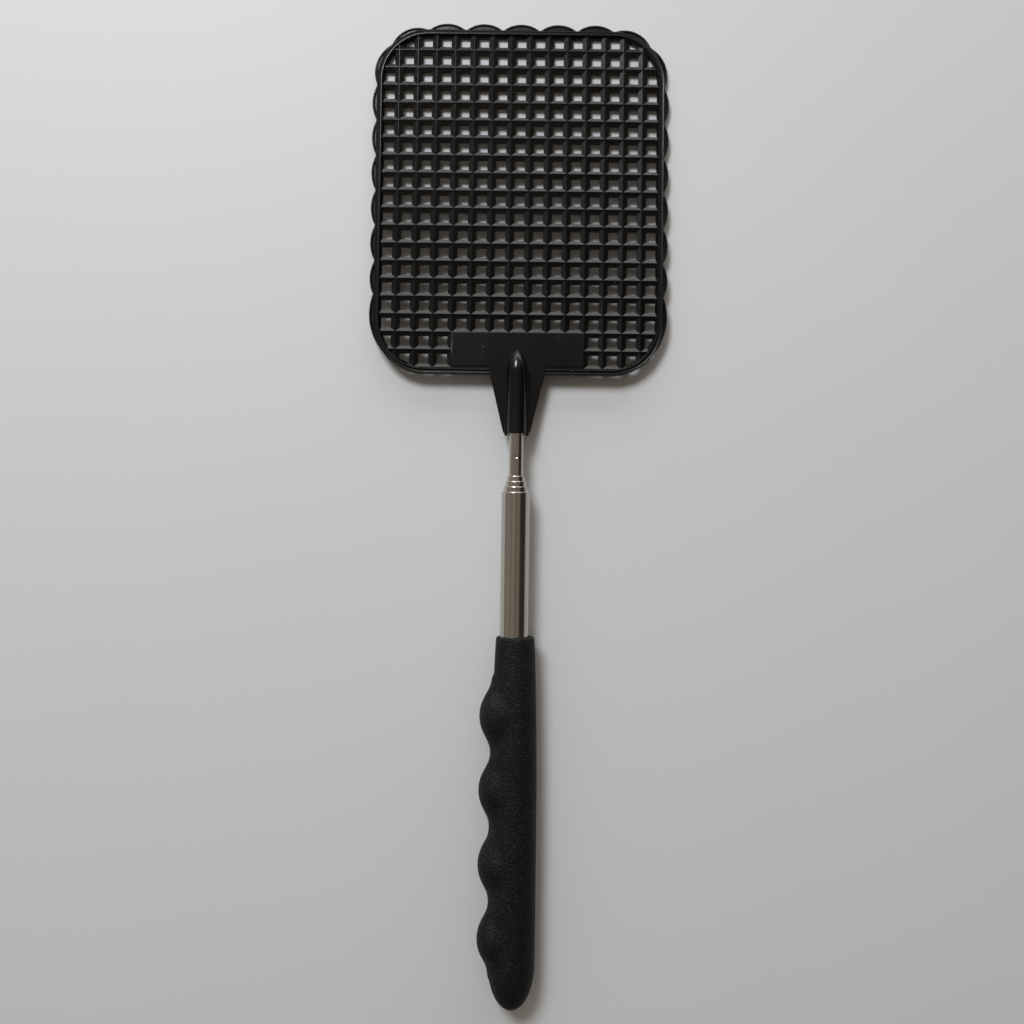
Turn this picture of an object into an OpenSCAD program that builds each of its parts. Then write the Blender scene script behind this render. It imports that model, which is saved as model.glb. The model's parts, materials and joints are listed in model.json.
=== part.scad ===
// Telescopic fly swatter, lying flat with its front face up.
// +Y runs from the grip to the blade, +X is to the right and +Z is up. The origin is on the
// resting surface, under the pole axis, halfway along the closed length.
// Distances called "station" are measured from the butt of the grip along the pole axis.

/* [Grip] */
// Length of the soft grip, butt to mouth
grip_len = 128.6; // [120:0.1:140]
// Largest radius of the grip's round body, which is also the height of the pole axis
grip_r = 8.1; // [8:0.1:9]
// Radius of the grip at its mouth
grip_mouth_r = 6.6; // [6.2:0.1:7.2]
// Distance of the grip's round body to the right of the pole axis
grip_shift = 0.5; // [0.3:0.1:0.7]
// Length of the rounded butt
butt_len = 16; // [14:0.5:18]
// Length over which the grip swells from its mouth
swell_len = 70; // [50:1:80]
// Distance of the finger bumps' centre line to the left of the pole axis
finger_offset = 4; // [3:0.1:4.2]
// Mean radius of the row of finger bumps
finger_r = 5.7; // [5.5:0.1:6]
// Half the height difference between a finger bump and a finger valley
finger_wave = 2.05; // [1.5:0.05:2.2]
// Spacing of the finger bumps
finger_pitch = 25.6; // [25:0.1:26]
// Station of the finger bump nearest the butt
finger_first = 24.5; // [23.5:0.1:25.5]
// Number of finger bumps
fingers = 4; // [3:1:4]
// Gap left by the glue between the grip and the outer tube
glue_gap = 0.02; // [0.01:0.01:0.05]

/* [Pole] */
// Outer diameter of the thinnest tube, which holds the blade
tip_od = 5; // [4.8:0.1:5.2]
// Increase in outer diameter from one tube to the next
tube_step = 1.2; // [1.2:0.05:1.25]
// Wall thickness of every tube
tube_wall = 0.3; // [0.28:0.01:0.3]
// Station of the lower end of the outer tube
outer_start = 62; // [60:0.5:64]
// Station of the lower ends of the four sliding tubes when the pole is closed
nest_start = 70; // [69:0.5:72]
// Station of the outer tube's mouth
outer_mouth = 178.4; // [176:0.1:180]
// Length of each sliding tube's mouth that shows when the pole is closed
mouth_proud = 1.85; // [1.6:0.05:2]
// Length of the rolled lip at each tube mouth
lip_len = 0.8; // [0.5:0.1:1]
// Running clearance between a moving ring or lip and the tube next to it
run_gap = 0.05; // [0.04:0.01:0.06]
// Length of the stop collar at the foot of each sliding tube
collar_len = 2; // [1.5:0.1:3]
// Length of the friction shims above each stop collar
shim_len = 12; // [10:0.5:14]
// Width of the slot between the two shims of a pair
shim_slot = 1.2; // [1:0.1:1.6]
// Diameter of the punched dimple in the thinnest tube
dimple_d = 1.1; // [0.9:0.1:1.3]
// Distance of the dimple below the mouth of the blade's socket
dimple_drop = 8.1; // [7:0.1:9]
// Depth of the glue grooves in the buried part of the outer tube
groove_depth = 0.18; // [0.16:0.01:0.2]
// Width of a glue groove
groove_w = 1.5; // [1:0.1:2]

/* [Blade] */
// Station of the socket's mouth, where the blade begins
socket_mouth = 198.5; // [197:0.1:200]
// Length of the blade from the socket's mouth to the tips of the far lobes
blade_reach = 144.2; // [144.2:0.1:144.4]
// Columns of windows across the blade
columns = 15; // [13:2:15]
// Rows of windows along the blade
rows = 19; // [19:1:19]
// Spacing of the columns
column_pitch = 6.56; // [6.5:0.01:6.6]
// Spacing of the rows
row_pitch = 6.2; // [6.1:0.01:6.2]
// Width of a lengthwise rib at its base
rib_base = 3.1; // [2.8:0.1:3.4]
// Width of a crosswise rib at its base
cross_base = 2.65; // [2.4:0.05:3]
// Width of a rib's crest
rib_crest = 0.35; // [0.3:0.05:0.5]
// Height of a rib's crest above the back of the blade
rib_h = 2; // [1.8:0.1:2.2]
// Height of the straight foot of a rib
rib_foot = 1.3; // [1:0.1:1.5]
// Thickness of the rim's ridge, the neck and the blank block
plate_t = 2.4; // [2.2:0.1:2.6]
// Width of the rim's ridge
ridge_w = 1.6; // [1.4:0.1:2]
// Half the width of the blade without its lobes
blade_half_w = 50.4; // [50.3:0.1:50.8]
// Distance from the socket's mouth to the near edge of the blade
blade_near = 20.7; // [20:0.1:21]
// Distance from the socket's mouth to the far edge of the blade without its lobes
blade_far = 141.9; // [141.8:0.1:142]
// Corner radius of the blade
corner_r = 18; // [17:0.5:19]
// Thickness of a lobe inside its bead
lobe_t = 1.2; // [1:0.1:1.5]
// Thickness of a lobe's bead
bead_t = 1.8; // [1.6:0.1:2]
// Width of a lobe's bead
bead_w = 0.9; // [0.7:0.1:1]
// How far the lobes on the far edge stand out
far_lobe = 2.3; // [2.3:0.1:2.4]
// How far the lobes on the two sides stand out
side_lobe = 1.55; // [1.4:0.05:1.7]
// Rise of each corner lobe from the chord between its cusps
corner_lobe = 2.9; // [2.8:0.1:3]
// Columns covered by the blank block behind the neck
block_columns = 7; // [5:2:7]
// Rows covered by the blank block
block_rows = 2; // [2:1:2]

/* [Socket] */
// Outer radius of the socket's ridge
socket_r = 3.45; // [3.3:0.05:3.5]
// Length of the socket's ridge, mouth to nose
socket_len = 29.3; // [28:0.1:30]
// Length of the rounded nose of the ridge
nose_len = 8; // [7:0.5:9]
// Depth of the socket's bore
bore_depth = 22; // [18:0.5:22]
// Width of the neck at the socket's mouth
neck_mouth_w = 9; // [9:0.1:10]
// Width of the neck where it meets the blade
neck_root_w = 20.8; // [19:0.1:22]
// Width of the two thin ribs beside the socket
side_rib_w = 0.7; // [0.5:0.1:0.8]
// How far the side ribs' nubs stand out past the socket's mouth
nub_len = 0.7; // [0.5:0.1:1]

/* [Hidden] */
$fn = 64;
eps = 0.01;
stages = 5;

// The blade droops just enough for its far lobes to reach the resting surface.
lift = norm([blade_reach, socket_r]);
droop = atan2(blade_reach, socket_r) - acos(grip_r / lift);
closed_len = socket_mouth + blade_reach * cos(droop) - (socket_r - bead_t) * sin(droop);
butt_y = -closed_len / 2;

lobe_pitch = 2 * row_pitch;
grid_near = blade_far - 1.2 - rows * row_pitch;
grid_half_w = columns * column_pitch / 2;
block_half_w = block_columns * column_pitch / 2;
block_far = grid_near + block_rows * row_pitch;
straight_half_w = blade_half_w - corner_r;
first_side_cusp = blade_far - corner_r - 1.9;
side_lobes = 6;

function tube_r(stage) = (tip_od + (stage - 1) * tube_step) / 2;
function tube_bore(stage) = tube_r(stage) - tube_wall;
function tube_mouth(stage) = outer_mouth + (stages - stage) * mouth_proud;

// Places things drawn along +Z so that they run along the pole, from a station.
module along_pole(station) {
    translate([0, butt_y + station, grip_r]) rotate([-90, 0, 0]) children();
}

// A straight round tube along the pole, between two stations.
module ring(outer_r, inner_r, from, to) {
    along_pole(from) difference() {
        cylinder(r = outer_r, h = to - from);
        translate([0, 0, -eps]) cylinder(r = inner_r, h = to - from + 2 * eps);
    }
}

// ---- grip ----

// Radius of the grip's round body at a station: an elliptical butt, then a slow taper to the mouth.
function body_r(s) =
    s < butt_len
    ? grip_r * sqrt(1 - pow((butt_len - s) / butt_len, 2))
    : grip_mouth_r + (grip_r - grip_mouth_r) * sin(90 * min(1, pow((grip_len - s) / swell_len, 0.8)));

// Radius of the row of finger bumps at a station, about its own centre line.
function finger_bump_r(s) =
    let (turn = 360 * (s - finger_first) / finger_pitch)
    finger_r + finger_wave * cos(turn) - 0.2 * cos(2 * turn);

// A body of revolution along the pole, shifted sideways, from a list of [radius, station] points.
module turned(shift, outline) {
    translate([shift, 0, 0]) along_pole(0) rotate_extrude() polygon(outline);
}

module grip() {
    step = 2;
    edge_r = 0.8;
    finger_from = finger_first - 0.62 * finger_pitch;
    finger_to = finger_first + (fingers - 0.48) * finger_pitch;
    color([0.07, 0.075, 0.08]) difference() {
        union() {
            turned(grip_shift, concat(
                [for (a = [0 : 12 : 84]) let (s = butt_len * (1 - cos(a))) [body_r(s), s]],
                [for (s = [butt_len : 3 * step : grip_len - edge_r - 0.5]) [body_r(s), s]],
                [for (a = [0 : 30 : 90])
                    [grip_mouth_r - edge_r * (1 - cos(a)), grip_len - edge_r * (1 - sin(a))]],
                [[0, grip_len]]
            ));
            turned(-finger_offset, concat(
                [[0, finger_from]],
                [for (s = [finger_from : step : finger_to]) [finger_bump_r(s), s]],
                [[0, finger_to]]
            ));
        }
        along_pole(outer_start - 0.5) cylinder(r = tube_r(stages) + glue_gap, h = grip_len);
    }
}

// ---- pole ----

// A tube of the given stage, with a lip rolled in over the next thinner tube.
module pole_tube(stage, from) {
    mouth = tube_mouth(stage);
    lip_r = tube_r(stage - 1) + run_gap;
    roll = (tube_r(stage) - lip_r) / 2;
    ring(tube_r(stage), tube_bore(stage), from, mouth - roll);
    along_pole(mouth - lip_len) rotate_extrude() {
        translate([lip_r, 0]) square([2 * roll - eps, lip_len - roll]);
        translate([lip_r + roll, lip_len - roll]) circle(r = roll);
    }
}

module outer_tube() {
    color([0.62, 0.58, 0.53]) difference() {
        pole_tube(stages, outer_start);
        for (i = [0 : 3])
            along_pole(grip_len - 0.2 - groove_w - 2 * groove_w * i) difference() {
                cylinder(r = tube_r(stages) + 1, h = groove_w);
                cylinder(r = tube_r(stages) - groove_depth, h = groove_w);
            }
    }
}

module tube_end_plug() {
    color([0.1, 0.1, 0.1]) along_pole(outer_start)
        cylinder(r = tube_bore(stages) - glue_gap, h = nest_start - outer_start - 0.1);
}

module sliding_tube(stage) {
    color([0.64, 0.6, 0.55]) pole_tube(stage, nest_start);
}

// The thinnest tube is plain: it ends inside the blade's socket and has a punched dimple.
module tip_tube() {
    color([0.64, 0.6, 0.55]) difference() {
        ring(tube_r(1), tube_bore(1), nest_start, socket_mouth + bore_depth - 0.1);
        along_pole(socket_mouth - dimple_drop)
            translate([0, -tube_r(1) - dimple_d / 2 + 0.2, 0]) sphere(d = dimple_d);
    }
}

module stop_collar(stage) {
    color([0.72, 0.55, 0.25])
        ring(tube_r(stage) + tube_wall - run_gap, tube_r(stage), nest_start, nest_start + collar_len);
}

// Half of the split friction sleeve that grips the next wider tube. Side is -1 left, 1 right.
module friction_shim(stage, side) {
    from = nest_start + collar_len + 0.1;
    reach = tube_r(stages);
    color([0.7, 0.5, 0.3]) intersection() {
        ring(tube_r(stage) + tube_wall - run_gap / 2, tube_r(stage) + run_gap / 2, from, from + shim_len);
        along_pole(from) translate([side * (reach + shim_slot / 2), 0, shim_len / 2])
            cube([2 * reach, 2 * reach, shim_len], center = true);
    }
}

// ---- blade ----

// The blade's own frame: x across, y from the socket's mouth, z up from the blade's back.
module on_blade() {
    translate([0, butt_y + socket_mouth, grip_r]) rotate([-droop, 0, 0])
        translate([0, 0, -socket_r]) children();
}

// The blade's outline without lobes, drawn smaller on every side by an inset.
module rounded_outline(inset) {
    half_w = blade_half_w - inset;
    near = blade_near + inset;
    far = blade_far - inset;
    r = corner_r - inset;
    translate([-half_w, near + r]) square([2 * half_w, far - near - 2 * r]);
    translate([-half_w + r, near]) square([2 * half_w - 2 * r, far - near]);
    for (x = [-half_w + r, half_w - r], y = [near + r, far - r])
        translate([x, y]) circle(r = r);
}

// Cross section of a grid rib, its base centred on the origin.
module rib_section(base) {
    polygon([
        [-base / 2, 0], [base / 2, 0], [base / 2, rib_foot],
        [rib_crest / 2, rib_h], [-rib_crest / 2, rib_h], [-base / 2, rib_foot]
    ]);
}

module grid() {
    length = rows * row_pitch;
    for (i = [1 : columns - 1])
        translate([-grid_half_w + i * column_pitch, grid_near + length, 0])
            rotate([90, 0, 0]) linear_extrude(length) rib_section(rib_base);
    for (j = [1 : rows - 1])
        translate([-grid_half_w, grid_near + j * row_pitch, 0])
            rotate([90, 0, 90]) linear_extrude(2 * grid_half_w) rib_section(cross_base);
}

// A lobe between two cusps: a round segment that rises by a height from its chord.
module lobe_outline(a, b, rise, inset) {
    chord = norm(b - a);
    r = (chord * chord / 4 + rise * rise) / (2 * rise);
    across = [b[1] - a[1], a[0] - b[0]] / chord;
    middle = (a + b) / 2 + across * (rise - r);
    translate(middle) circle(r = r - inset);
}

// Cusps from the middle of the far edge, round the right-hand corner and down the side.
corner_cusp = [blade_half_w - corner_r * (1 - cos(52)), blade_far - corner_r * (1 - sin(52))];
side_x = blade_half_w - 0.1;
cusps = concat(
    [for (i = [0 : 2]) [straight_half_w * (2 * i + 1) / 5, blade_far - 0.1]],
    [corner_cusp],
    [for (i = [0 : side_lobes]) [side_x, first_side_cusp - i * lobe_pitch]]
);
rises = concat([far_lobe, far_lobe], [corner_lobe, corner_lobe], [for (i = [1 : side_lobes]) side_lobe]);

// All lobes on the right-hand half, as disks whose inner parts lie inside the blade.
module half_lobes(inset) {
    for (i = [0 : len(rises) - 1])
        lobe_outline(cusps[i + 1], cusps[i], rises[i], inset);
}

// Both sides' lobes and the middle lobe of the far edge.
module lobes(inset) {
    half_lobes(inset);
    mirror([1, 0]) half_lobes(inset);
    lobe_outline(cusps[0], [-cusps[0][0], cusps[0][1]], far_lobe, inset);
    // The lowest side lobe runs on into the plain corner of the near edge.
    last_r = cusps[len(cusps) - 1][1] - lobe_pitch / 2 - blade_near;
    for (side = [-1, 1])
        translate([side * (side_x + side_lobe - last_r), blade_near + last_r]) circle(r = last_r - inset);
}

module lobe_band() {
    linear_extrude(lobe_t) difference() {
        lobes(bead_w / 2);
        rounded_outline(ridge_w / 2);
    }
    linear_extrude(bead_t) difference() {
        lobes(0);
        lobes(bead_w);
        rounded_outline(ridge_w / 2);
    }
}

module rim() {
    linear_extrude(plate_t) difference() {
        rounded_outline(0);
        rounded_outline(ridge_w);
    }
    linear_extrude(rib_h) difference() {
        rounded_outline(ridge_w / 2);
        rounded_outline(ridge_w + 0.9);
    }
}

module neck_outline() {
    round_r = 1;
    root = blade_near + ridge_w;
    difference() {
        polygon([
            [-neck_mouth_w / 2, 0], [neck_mouth_w / 2, 0],
            [neck_root_w / 2, blade_near], [neck_root_w / 2, root],
            [-neck_root_w / 2, root], [-neck_root_w / 2, blade_near]
        ]);
        for (side = [-1, 1])
            translate([side * neck_mouth_w / 2, 0]) rotate(45)
                square(1.2 * round_r, center = true);
    }
}

// The socket's ridge follows the pole, so it stands level while the blade droops below it.
module socket_ridge() {
    nose_r = (nose_len * nose_len + socket_r * socket_r) / (2 * socket_r);
    along_pole(socket_mouth) {
        cylinder(r = socket_r, h = socket_len - nose_len);
        translate([0, 0, socket_len - nose_len]) rotate_extrude() intersection() {
            translate([socket_r - nose_r, 0]) circle(r = nose_r, $fn = 96);
            square([socket_r, nose_len]);
        }
        translate([-socket_r, 0, 0]) cube([2 * socket_r, socket_r - plate_t / 2, socket_len - nose_len]);
    }
    for (side = [-1, 1])
        along_pole(socket_mouth - nub_len)
            translate([side * (socket_r + side_rib_w / 2) - side_rib_w / 2, -0.4, 0])
                cube([side_rib_w, socket_r - plate_t / 2 + 0.4, socket_len - nose_len]);
}

module swatter_head() {
    color([0.03, 0.03, 0.035]) difference() {
        union() {
            on_blade() {
                intersection() {
                    grid();
                    linear_extrude(plate_t) rounded_outline(ridge_w / 2);
                }
                rim();
                lobe_band();
                linear_extrude(plate_t) neck_outline();
                translate([-block_half_w, blade_near + ridge_w / 2, 0])
                    cube([2 * block_half_w, block_far - blade_near - ridge_w / 2, rib_h]);
            }
            socket_ridge();
        }
        along_pole(socket_mouth - eps) cylinder(r = tube_r(1) + glue_gap, h = bore_depth);
    }
}

grip();
outer_tube();
tube_end_plug();
sliding_tube(4);  // tube_4
stop_collar(4);  // stop_collar_4
friction_shim(4, -1);  // friction_shim_4_left
friction_shim(4, 1);  // friction_shim_4_right
sliding_tube(3);  // tube_3
stop_collar(3);  // stop_collar_3
friction_shim(3, -1);  // friction_shim_3_left
friction_shim(3, 1);  // friction_shim_3_right
sliding_tube(2);  // tube_2
stop_collar(2);  // stop_collar_2
friction_shim(2, -1);  // friction_shim_2_left
friction_shim(2, 1);  // friction_shim_2_right
tip_tube();
stop_collar(1);  // stop_collar_1
friction_shim(1, -1);  // friction_shim_1_left
friction_shim(1, 1);  // friction_shim_1_right
swatter_head();
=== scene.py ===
"""Telescopic fly swatter: its visible pieces, their finishes and a plain studio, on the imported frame."""

import json
import math

import bmesh
import bpy
from bpy.props import FloatProperty, FloatVectorProperty, IntProperty, PointerProperty
from mathutils import Matrix, Vector


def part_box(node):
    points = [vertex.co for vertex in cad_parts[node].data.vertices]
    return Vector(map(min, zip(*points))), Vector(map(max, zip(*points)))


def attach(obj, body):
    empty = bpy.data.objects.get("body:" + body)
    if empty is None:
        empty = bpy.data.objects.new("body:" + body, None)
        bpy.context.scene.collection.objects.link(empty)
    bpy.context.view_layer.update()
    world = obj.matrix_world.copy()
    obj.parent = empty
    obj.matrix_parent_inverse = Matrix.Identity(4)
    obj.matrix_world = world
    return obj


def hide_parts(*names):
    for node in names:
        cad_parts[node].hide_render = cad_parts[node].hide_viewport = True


bl_info = {
    "name": "Fly swatter",
    "version": (1, 0, 0),
    "blender": (4, 5, 0),
    "location": "3D View > Sidebar > Swatter",
    "description": "Builds a telescopic fly swatter around its packed frame",
    "category": "Add Mesh",
}

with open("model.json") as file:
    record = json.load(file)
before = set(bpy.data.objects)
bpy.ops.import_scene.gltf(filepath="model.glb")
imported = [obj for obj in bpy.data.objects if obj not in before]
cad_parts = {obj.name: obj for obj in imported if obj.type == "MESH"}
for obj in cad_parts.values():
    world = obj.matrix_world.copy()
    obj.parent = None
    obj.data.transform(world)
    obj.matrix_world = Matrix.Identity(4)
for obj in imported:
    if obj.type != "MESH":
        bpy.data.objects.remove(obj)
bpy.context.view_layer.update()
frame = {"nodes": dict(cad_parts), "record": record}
MM = 0.001
MERGE = 0.001 * MM
GLUE_GAP = 0.02 * MM
SOCKET_SIDES = 96
SHARP_ANGLE = math.radians(32)

TUBE_LOW, TUBE_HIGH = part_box("outer_tube")
GRIP_LOW, GRIP_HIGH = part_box("grip")
POLE_Z = (TUBE_LOW.z + TUBE_HIGH.z) / 2
SLIDING_TUBES = {"tube_4": "section_4", "tube_3": "section_3", "tube_2": "section_2"}
BLADE_FACE = next(m for m in frame["record"]["mounts"] if m["name"] == "blade_back")


# ---- sizes and colours that a user may change ----


def length(label, description, millimetres):
    """A length property whose default is given in millimetres."""
    return FloatProperty(
        name=label, description=description, default=millimetres * MM, unit="LENGTH", precision=5
    )


def colour(label, description, value):
    """A linear colour property."""
    return FloatVectorProperty(
        name=label, description=description, default=value, subtype="COLOR", min=0.0, max=1.0
    )


class BladeSettings(bpy.types.PropertyGroup):
    """Sizes of the moulded blade, measured on its own flat back."""

    columns: IntProperty(name="Columns", description="Windows across the blade", default=15)
    rows: IntProperty(name="Rows", description="Windows along the blade", default=19)
    column_pitch: length("Column pitch", "Spacing of the lengthwise ribs", 6.56)
    row_pitch: length("Row pitch", "Spacing of the crosswise ribs", 6.2)
    window_w: length("Window width", "Clear width of a window at the back", 3.46)
    window_h: length("Window height", "Clear height of a window at the back", 3.55)
    rib_height: length("Rib height", "Height of the rib crests above the back", 2.0)
    rib_foot: length("Rib foot", "Height of the straight wall at the foot of each window", 1.3)
    rib_crest: length("Rib crest", "Width of the flat crest of a rib", 0.2)
    half_width: length("Half width", "Half the width of the blade without its lobes", 50.4)
    near_edge: length("Near edge", "From the socket's mouth to the near edge of the blade", 20.7)
    far_edge: length("Far edge", "From the socket's mouth to the far edge without lobes", 141.9)
    corner: length("Corner radius", "Radius of the blade's four corners", 18.0)
    rim_band: length("Rim band", "From the edge to the foot of the rim's inner slope", 2.72)
    plate: length("Plate thickness", "Thickness of the ridge and the neck", 2.4)
    lobe_floor: length("Lobe thickness", "Thickness of a lobe inside its bead", 1.4)
    bead_height: length("Bead height", "Height of the bead round each lobe", 1.8)
    far_lobe: length("Far lobes", "How far the lobes of the far edge stand out", 2.3)
    side_lobe: length("Side lobes", "How far the lobes of the sides stand out", 1.55)
    corner_lobe: length("Corner lobes", "Rise of a corner lobe from its chord", 2.9)
    block_columns: IntProperty(
        name="Block columns", description="Columns under the blank block", default=7
    )
    block_rows: IntProperty(name="Block rows", description="Rows under the blank block", default=2)


class SocketSettings(bpy.types.PropertyGroup):
    """Sizes of the neck and of the socket that holds the pole."""

    radius: length("Ridge radius", "Outer radius of the socket's ridge", 3.45)
    reach: length("Ridge length", "From the socket's mouth to its nose", 29.3)
    nose: length("Nose length", "Length of the rounded nose", 8.0)
    bore: length("Bore depth", "Depth of the hole for the pole", 22.0)
    nub: length("Nub length", "How far the side ribs stand out past the mouth", 0.7)
    side_rib: length("Side rib width", "Width of each thin rib beside the ridge", 0.7)
    mouth_width: length("Mouth width", "Width of the neck at the socket's mouth", 9.0)
    root_width: length("Root width", "Width of the neck at the blade", 20.8)


class PoleSettings(bpy.types.PropertyGroup):
    """Sizes that the steel sections share."""

    wall: length("Wall", "Wall thickness of every section", 0.3)
    lip: length("Lip length", "Length of the rolled lip at each mouth", 0.8)
    gap: length("Running gap", "Gap between a lip and the section inside it", 0.05)
    dimple: length("Dimple width", "Width of the punched dimple in the thinnest section", 1.2)
    dimple_depth: length("Dimple depth", "Depth of the punched dimple", 0.35)
    dimple_drop: length("Dimple place", "From the blade's socket down to the dimple", 8.1)
    sides: IntProperty(name="Sides", description="Facets round each section", default=128)


class GripSettings(bpy.types.PropertyGroup):
    """Sizes of the soft grip."""

    shift: length("Body shift", "Distance of the round body to the right of the pole axis", 0.5)
    mouth_radius: length("Mouth radius", "Radius of the body at the mouth", 6.6)
    edge: length("Edge radius", "Rounding of the mouth's edge", 0.8)
    butt: length("Butt length", "Length of the rounded butt", 16.0)
    swell: length("Swell length", "Length over which the body swells from its mouth", 70.0)
    finger_offset: length("Finger offset", "Distance of the finger row to the left of the axis", 4.0)
    finger_radius: length("Finger radius", "Mean radius of the finger row", 5.7)
    finger_wave: length("Finger wave", "Half the height from a valley to a bump", 2.05)
    finger_pitch: length("Finger pitch", "Spacing of the finger bumps", 25.6)
    finger_first: length("First finger", "From the butt to the first finger bump", 24.5)
    fingers: IntProperty(name="Fingers", description="Number of finger bumps", default=4)
    sides: IntProperty(name="Sides", description="Facets round the grip", default=96)


class FinishSettings(bpy.types.PropertyGroup):
    """Colours of the materials."""

    plastic: colour("Blade", "Moulded plastic of the blade", (0.0022, 0.0023, 0.0024))
    dust: colour("Dust", "Dust and scuffs on the blade", (0.30, 0.29, 0.27))
    steel: colour("Steel", "Polished steel of the pole", (0.57, 0.54, 0.50))
    rubber: colour("Grip", "Soft rubber of the grip", (0.002, 0.0021, 0.0023))
    brass: colour("Collars", "Brass of the stop collars", (0.72, 0.53, 0.25))
    bronze: colour("Shims", "Bronze of the friction shims", (0.68, 0.46, 0.27))
    floor: colour("Floor", "Pale surface under the swatter", (0.62, 0.62, 0.63))


class StudioSettings(bpy.types.PropertyGroup):
    """The camera and the lights."""

    camera_height: length("Camera height", "Height of the camera above the floor", 390.0)
    camera_x: length("Camera X", "Sideways place of the camera", -1.2)
    camera_y: length("Camera Y", "Lengthwise place of the camera", 0.2)
    camera_roll: FloatProperty(
        name="Camera roll", description="Turn of the camera about its view", default=math.radians(0.75),
        subtype="ANGLE",
    )
    lens: FloatProperty(name="Lens", description="Focal length in millimetres", default=38.95)
    window_power: FloatProperty(
        name="Window", description="Power of the high window", default=12.0, unit="POWER"
    )
    low_power: FloatProperty(
        name="Low window", description="Power of the low, wide window", default=12.5, unit="POWER"
    )
    panel_power: FloatProperty(
        name="Panels", description="Power of each dim ceiling panel", default=0.3, unit="POWER"
    )
    sky: FloatProperty(name="Room", description="Strength of the room's light", default=1.0)


# ---- shader nodes ----


class Wire:
    """One output of a shader node. Arithmetic on wires and numbers adds Math nodes."""

    def __init__(self, finish, socket):
        self.finish = finish
        self.socket = socket

    def math(self, operation, first, second):
        return self.finish.node("ShaderNodeMath", {"operation": operation}, {0: first, 1: second})

    def __add__(self, other):
        return self.math("ADD", self, other)

    def __radd__(self, other):
        return self.math("ADD", other, self)

    def __sub__(self, other):
        return self.math("SUBTRACT", self, other)

    def __rsub__(self, other):
        return self.math("SUBTRACT", other, self)

    def __mul__(self, other):
        return self.math("MULTIPLY", self, other)

    def __rmul__(self, other):
        return self.math("MULTIPLY", other, self)

    def __lt__(self, other):
        return self.math("LESS_THAN", self, other)

    def __gt__(self, other):
        return self.math("GREATER_THAN", self, other)


class Finish:
    """The nodes of a material, or of the world round the object."""

    def __init__(self, holder, place="Object"):
        holder.use_nodes = True
        self.holder = holder
        self.tree = holder.node_tree
        self.tree.nodes.clear()
        self.place = self.node("ShaderNodeTexCoord", {}, {}, place)

    def node(self, kind, settings, inputs, output=0):
        """Adds a node: settings first, then values or wires into its sockets. Gives one output."""
        made = self.tree.nodes.new(kind)
        for key, value in settings.items():
            if key == "stops":
                ramp = made.color_ramp
                while len(ramp.elements) < len(value):
                    ramp.elements.new(1.0)
                for element, (position, level) in zip(ramp.elements, value):
                    element.position = position
                    element.color = (level, level, level, 1.0)
            else:
                setattr(made, key, value)
        for key, value in inputs.items():
            if isinstance(value, Wire):
                self.tree.links.new(value.socket, made.inputs[key])
            else:
                made.inputs[key].default_value = value
        return Wire(self, made.outputs[output])

    def stretched(self, scale):
        """The object's coordinates, scaled along each axis."""
        return self.node("ShaderNodeMapping", {}, {"Vector": self.place, "Scale": scale})

    def noise(self, per_metre, detail=3.0, roughness=0.55, place=None):
        """Soft noise from 0 to 1, with about so many lumps to the metre."""
        return self.node(
            "ShaderNodeTexNoise",
            {},
            {"Vector": place or self.place, "Scale": per_metre, "Detail": detail, "Roughness": roughness},
            "Fac",
        )

    def ramp(self, value, *stops):
        """Value passed through a grey ramp of (position, level) stops."""
        return self.node("ShaderNodeValToRGB", {"stops": stops}, {"Fac": value})

    def mix(self, share, first, second):
        """A colour between two colours."""
        settings = {"data_type": "RGBA"}
        values = {"Factor": share, 6: first, 7: second}
        return self.node("ShaderNodeMix", settings, values, 2)

    def bump(self, height, distance, strength=1.0, normal=None):
        """A bumped normal from a height of 0 to 1 that stands for a distance."""
        inputs = {"Height": height, "Distance": distance, "Strength": strength}
        if normal:
            inputs["Normal"] = normal
        return self.node("ShaderNodeBump", {}, inputs)

    def surface(self, **inputs):
        """Ends the material in a Principled shader. Underscores in names stand for spaces."""
        sockets = {key.replace("_", " "): value for key, value in inputs.items()}
        shader = self.node("ShaderNodeBsdfPrincipled", {}, sockets)
        self.end("ShaderNodeOutputMaterial", shader)
        return self.holder

    def end(self, kind, shader):
        """Plugs a shader into the output."""
        output = self.tree.nodes.new(kind)
        self.tree.links.new(shader.socket, output.inputs["Surface"])


def finishes():
    return bpy.context.scene.swatter_finishes


def rgba(value, level=1.0):
    """A property's colour, made lighter or darker, with full alpha."""
    return (*[channel * level for channel in value], 1.0)


def moulded_plastic():
    """Semi-gloss black moulding with faint flow waves, scuffs and a little dust."""
    f = Finish(bpy.data.materials.new("moulded_plastic"))
    waves = f.noise(90.0, 2.0)
    grain = f.noise(2600.0, 2.0)
    blotches = f.ramp(f.noise(55.0, 4.0, 0.6), (0.35, 0.0), (0.7, 1.0))
    scuffs = f.ramp(f.noise(1.0, 5.0, 0.7, f.stretched((900.0, 160.0, 400.0))), (0.62, 0.0), (0.78, 1.0))
    speck = f.node("ShaderNodeTexVoronoi", {}, {"Vector": f.place, "Scale": 260.0}, "Distance")
    chosen = f.node("ShaderNodeTexVoronoi", {}, {"Vector": f.place, "Scale": 260.0}, "Color")
    dust = (speck < 0.05) * (chosen > 0.8)
    soil = 0.003 * blotches + 0.008 * scuffs + 0.45 * dust
    colour_out = f.mix(soil, rgba(finishes().plastic), rgba(finishes().dust))
    roughness = 0.19 + 0.06 * blotches + 0.12 * scuffs + 0.3 * dust
    normal = f.bump(waves, 0.06 * MM, 0.6)
    normal = f.bump(grain, 0.004 * MM, 0.6, normal)
    return f.surface(Base_Color=colour_out, Roughness=roughness, Normal=normal, Specular_IOR_Level=0.36)


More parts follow.
